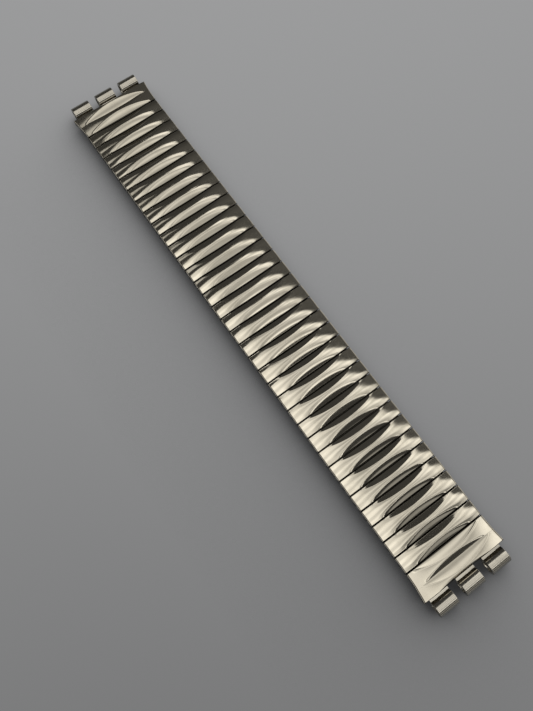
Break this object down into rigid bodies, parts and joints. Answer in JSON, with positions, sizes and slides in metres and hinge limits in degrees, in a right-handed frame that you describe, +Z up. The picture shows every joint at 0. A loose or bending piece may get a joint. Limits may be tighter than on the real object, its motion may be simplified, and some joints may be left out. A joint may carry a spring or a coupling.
{
  "type": "watch strap",
  "caption": "Expanding metal watch band of sprung links in two layers, with fluted covers and rolled lug knuckles at both ends.",
  "frame": {"origin": "middle of the band at its underside, on the surface that it lies on", "axes": "+X along the band towards end b, +Y across the band, +Z up through the polished covers"},
  "size_m": [0.1252, 0.0178, 0.0032],
  "materials": {
    "cover_steel": "polished, warm reflections",
    "lug_steel": "polished",
    "sleeve_steel": "plain rolled sheet",
    "spring_steel": "drawn wire and strip"
  },
  "bodies": {
    "links_mid": {"covers_mid": "cover_steel", "sleeves_mid": "sleeve_steel", "staples_mid": "spring_steel"},
    "bridge_a1": {"bridge_link_a1": "sleeve_steel"},
    "tilting_staples_a1": {"stretch_staples_a1": "spring_steel"},
    "links_a1": {"covers_a1": "cover_steel", "sleeves_a1": "sleeve_steel", "staples_a1": "spring_steel"},
    "bridge_a2": {"bridge_link_a2": "sleeve_steel"},
    "tilting_staples_a2": {"stretch_staples_a2": "spring_steel"},
    "links_a2": {"covers_a2": "cover_steel", "sleeves_a2": "sleeve_steel", "staples_a2": "spring_steel"},
    "bridge_a3": {"bridge_link_a3": "sleeve_steel"},
    "tilting_staples_a3": {"stretch_staples_a3": "spring_steel"},
    "links_a3": {"covers_a3": "cover_steel", "sleeves_a3": "sleeve_steel", "staples_a3": "spring_steel"},
    "bridge_a4": {"bridge_link_a4": "sleeve_steel"},
    "tilting_staples_a4": {"stretch_staples_a4": "spring_steel"},
    "links_a4": {"covers_a4": "cover_steel", "sleeves_a4": "sleeve_steel", "staples_a4": "spring_steel"},
    "bridge_a5": {"bridge_link_a5": "sleeve_steel"},
    "tilting_staples_a5": {"stretch_staples_a5": "spring_steel"},
    "links_a5": {"covers_a5": "cover_steel", "sleeves_a5": "sleeve_steel", "staples_a5": "spring_steel"},
    "end_a": {"end_cap_a": "cover_steel", "lug_frame_a": "lug_steel", "end_staples_a": "spring_steel"},
    "bridge_b1": {"bridge_link_b1": "sleeve_steel"},
    "tilting_staples_b1": {"stretch_staples_b1": "spring_steel"},
    "links_b1": {"covers_b1": "cover_steel", "sleeves_b1": "sleeve_steel", "staples_b1": "spring_steel"},
    "bridge_b2": {"bridge_link_b2": "sleeve_steel"},
    "tilting_staples_b2": {"stretch_staples_b2": "spring_steel"},
    "links_b2": {"covers_b2": "cover_steel", "sleeves_b2": "sleeve_steel", "staples_b2": "spring_steel"},
    "bridge_b3": {"bridge_link_b3": "sleeve_steel"},
    "tilting_staples_b3": {"stretch_staples_b3": "spring_steel"},
    "links_b3": {"covers_b3": "cover_steel", "sleeves_b3": "sleeve_steel", "staples_b3": "spring_steel"},
    "bridge_b4": {"bridge_link_b4": "sleeve_steel"},
    "tilting_staples_b4": {"stretch_staples_b4": "spring_steel"},
    "links_b4": {"covers_b4": "cover_steel", "sleeves_b4": "sleeve_steel", "staples_b4": "spring_steel"},
    "bridge_b5": {"bridge_link_b5": "sleeve_steel"},
    "tilting_staples_b5": {"stretch_staples_b5": "spring_steel"},
    "links_b5": {"covers_b5": "cover_steel", "sleeves_b5": "sleeve_steel", "staples_b5": "spring_steel"},
    "end_b": {"end_cap_b": "cover_steel", "lug_frame_b": "lug_steel", "end_staples_b": "spring_steel"}
  },
  "joints": [
    {"name": "stretch_a1", "type": "slide", "parent": "links_mid", "child": "bridge_a1", "axis": [-1, 0, 0], "range_m": [0, 0.00106], "stiffness_N_per_m": 400},
    {"name": "staple_tilt_a1", "type": "hinge", "parent": "links_mid", "child": "tilting_staples_a1", "pos_m": [-0.00551, 0, 0.00212], "axis": [0, 1, 0], "range_deg": [0, 39]},
    {"name": "curl_a1", "type": "hinge", "parent": "bridge_a1", "child": "links_a1", "pos_m": [-0.00709, 0, 0.00043], "axis": [0, -1, 0], "range_deg": [-1.5, 23], "stiffness_Nm_per_rad": 0.0005},
    {"name": "stretch_a2", "type": "slide", "parent": "links_a1", "child": "bridge_a2", "axis": [-1, 0, 0], "range_m": [0, 0.00106], "stiffness_N_per_m": 400},
    {"name": "staple_tilt_a2", "type": "hinge", "parent": "links_a1", "child": "tilting_staples_a2", "pos_m": [-0.01496, 0, 0.00212], "axis": [0, 1, 0], "range_deg": [0, 39]},
    {"name": "curl_a2", "type": "hinge", "parent": "bridge_a2", "child": "links_a2", "pos_m": [-0.01654, 0, 0.00043], "axis": [0, -1, 0], "range_deg": [-1.5, 23], "stiffness_Nm_per_rad": 0.0005},
    {"name": "stretch_a3", "type": "slide", "parent": "links_a2", "child": "bridge_a3", "axis": [-1, 0, 0], "range_m": [0, 0.00106], "stiffness_N_per_m": 400},
    {"name": "staple_tilt_a3", "type": "hinge", "parent": "links_a2", "child": "tilting_staples_a3", "pos_m": [-0.02441, 0, 0.00212], "axis": [0, 1, 0], "range_deg": [0, 39]},
    {"name": "curl_a3", "type": "hinge", "parent": "bridge_a3", "child": "links_a3", "pos_m": [-0.02599, 0, 0.00043], "axis": [0, -1, 0], "range_deg": [-1.5, 23], "stiffness_Nm_per_rad": 0.0005},
    {"name": "stretch_a4", "type": "slide", "parent": "links_a3", "child": "bridge_a4", "axis": [-1, 0, 0], "range_m": [0, 0.00106], "stiffness_N_per_m": 400},
    {"name": "staple_tilt_a4", "type": "hinge", "parent": "links_a3", "child": "tilting_staples_a4", "pos_m": [-0.03386, 0, 0.00212], "axis": [0, 1, 0], "range_deg": [0, 39]},
    {"name": "curl_a4", "type": "hinge", "parent": "bridge_a4", "child": "links_a4", "pos_m": [-0.03544, 0, 0.00043], "axis": [0, -1, 0], "range_deg": [-1.5, 23], "stiffness_Nm_per_rad": 0.0005},
    {"name": "stretch_a5", "type": "slide", "parent": "links_a4", "child": "bridge_a5", "axis": [-1, 0, 0], "range_m": [0, 0.00106], "stiffness_N_per_m": 400},
    {"name": "staple_tilt_a5", "type": "hinge", "parent": "links_a4", "child": "tilting_staples_a5", "pos_m": [-0.04331, 0, 0.00212], "axis": [0, 1, 0], "range_deg": [0, 39]},
    {"name": "curl_a5", "type": "hinge", "parent": "bridge_a5", "child": "links_a5", "pos_m": [-0.04489, 0, 0.00043], "axis": [0, -1, 0], "range_deg": [-1.5, 23], "stiffness_Nm_per_rad": 0.0005},
    {"name": "curl_a6", "type": "hinge", "parent": "links_a5", "child": "end_a", "pos_m": [-0.05434, 0, 0.00043], "axis": [0, -1, 0], "range_deg": [-1.5, 23], "stiffness_Nm_per_rad": 0.0005},
    {"name": "stretch_b1", "type": "slide", "parent": "links_mid", "child": "bridge_b1", "axis": [1, 0, 0], "range_m": [0, 0.00106], "stiffness_N_per_m": 400},
    {"name": "staple_tilt_b1", "type": "hinge", "parent": "links_mid", "child": "tilting_staples_b1", "pos_m": [0.00551, 0, 0.00212], "axis": [0, -1, 0], "range_deg": [0, 39]},
    {"name": "curl_b1", "type": "hinge", "parent": "bridge_b1", "child": "links_b1", "pos_m": [0.00709, 0, 0.00043], "axis": [0, 1, 0], "range_deg": [-1.5, 23], "stiffness_Nm_per_rad": 0.0005},
    {"name": "stretch_b2", "type": "slide", "parent": "links_b1", "child": "bridge_b2", "axis": [1, 0, 0], "range_m": [0, 0.00106], "stiffness_N_per_m": 400},
    {"name": "staple_tilt_b2", "type": "hinge", "parent": "links_b1", "child": "tilting_staples_b2", "pos_m": [0.01496, 0, 0.00212], "axis": [0, -1, 0], "range_deg": [0, 39]},
    {"name": "curl_b2", "type": "hinge", "parent": "bridge_b2", "child": "links_b2", "pos_m": [0.01654, 0, 0.00043], "axis": [0, 1, 0], "range_deg": [-1.5, 23], "stiffness_Nm_per_rad": 0.0005},
    {"name": "stretch_b3", "type": "slide", "parent": "links_b2", "child": "bridge_b3", "axis": [1, 0, 0], "range_m": [0, 0.00106], "stiffness_N_per_m": 400},
    {"name": "staple_tilt_b3", "type": "hinge", "parent": "links_b2", "child": "tilting_staples_b3", "pos_m": [0.02441, 0, 0.00212], "axis": [0, -1, 0], "range_deg": [0, 39]},
    {"name": "curl_b3", "type": "hinge", "parent": "bridge_b3", "child": "links_b3", "pos_m": [0.02599, 0, 0.00043], "axis": [0, 1, 0], "range_deg": [-1.5, 23], "stiffness_Nm_per_rad": 0.0005},
    {"name": "stretch_b4", "type": "slide", "parent": "links_b3", "child": "bridge_b4", "axis": [1, 0, 0], "range_m": [0, 0.00106], "stiffness_N_per_m": 400},
    {"name": "staple_tilt_b4", "type": "hinge", "parent": "links_b3", "child": "tilting_staples_b4", "pos_m": [0.03386, 0, 0.00212], "axis": [0, -1, 0], "range_deg": [0, 39]},
    {"name": "curl_b4", "type": "hinge", "parent": "bridge_b4", "child": "links_b4", "pos_m": [0.03544, 0, 0.00043], "axis": [0, 1, 0], "range_deg": [-1.5, 23], "stiffness_Nm_per_rad": 0.0005},
    {"name": "stretch_b5", "type": "slide", "parent": "links_b4", "child": "bridge_b5", "axis": [1, 0, 0], "range_m": [0, 0.00106], "stiffness_N_per_m": 400},
    {"name": "staple_tilt_b5", "type": "hinge", "parent": "links_b4", "child": "tilting_staples_b5", "pos_m": [0.04331, 0, 0.00212], "axis": [0, -1, 0], "range_deg": [0, 39]},
    {"name": "curl_b5", "type": "hinge", "parent": "bridge_b5", "child": "links_b5", "pos_m": [0.04489, 0, 0.00043], "axis": [0, 1, 0], "range_deg": [-1.5, 23], "stiffness_Nm_per_rad": 0.0005},
    {"name": "curl_b6", "type": "hinge", "parent": "links_b5", "child": "end_b", "pos_m": [0.05434, 0, 0.00043], "axis": [0, 1, 0], "range_deg": [-1.5, 23], "stiffness_Nm_per_rad": 0.0005}
  ],
  "couplings": [
    {"joint": "stretch_a1", "follows": "stretch_b1", "ratio": 1},
    {"joint": "staple_tilt_a1", "follows": "stretch_b1", "rad_per_m": 640.01},
    {"joint": "stretch_a2", "follows": "stretch_b1", "ratio": 1},
    {"joint": "staple_tilt_a2", "follows": "stretch_b1", "rad_per_m": 640.01},
    {"joint": "stretch_a3", "follows": "stretch_b1", "ratio": 1},
    {"joint": "staple_tilt_a3", "follows": "stretch_b1", "rad_per_m": 640.01},
    {"joint": "stretch_a4", "follows": "stretch_b1", "ratio": 1},
    {"joint": "staple_tilt_a4", "follows": "stretch_b1", "rad_per_m": 640.01},
    {"joint": "stretch_a5", "follows": "stretch_b1", "ratio": 1},
    {"joint": "staple_tilt_a5", "follows": "stretch_b1", "rad_per_m": 640.01},
    {"joint": "curl_a2", "follows": "curl_a1", "ratio": 1},
    {"joint": "curl_a3", "follows": "curl_a1", "ratio": 1},
    {"joint": "curl_a4", "follows": "curl_a1", "ratio": 1},
    {"joint": "curl_a5", "follows": "curl_a1", "ratio": 1},
    {"joint": "curl_a6", "follows": "curl_a1", "ratio": 1},
    {"joint": "staple_tilt_b1", "follows": "stretch_b1", "rad_per_m": 640.01},
    {"joint": "stretch_b2", "follows": "stretch_b1", "ratio": 1},
    {"joint": "staple_tilt_b2", "follows": "stretch_b1", "rad_per_m": 640.01},
    {"joint": "stretch_b3", "follows": "stretch_b1", "ratio": 1},
    {"joint": "staple_tilt_b3", "follows": "stretch_b1", "rad_per_m": 640.01},
    {"joint": "stretch_b4", "follows": "stretch_b1", "ratio": 1},
    {"joint": "staple_tilt_b4", "follows": "stretch_b1", "rad_per_m": 640.01},
    {"joint": "stretch_b5", "follows": "stretch_b1", "ratio": 1},
    {"joint": "staple_tilt_b5", "follows": "stretch_b1", "rad_per_m": 640.01},
    {"joint": "curl_b2", "follows": "curl_b1", "ratio": 1},
    {"joint": "curl_b3", "follows": "curl_b1", "ratio": 1},
    {"joint": "curl_b4", "follows": "curl_b1", "ratio": 1},
    {"joint": "curl_b5", "follows": "curl_b1", "ratio": 1},
    {"joint": "curl_b6", "follows": "curl_b1", "ratio": 1}
  ]
}
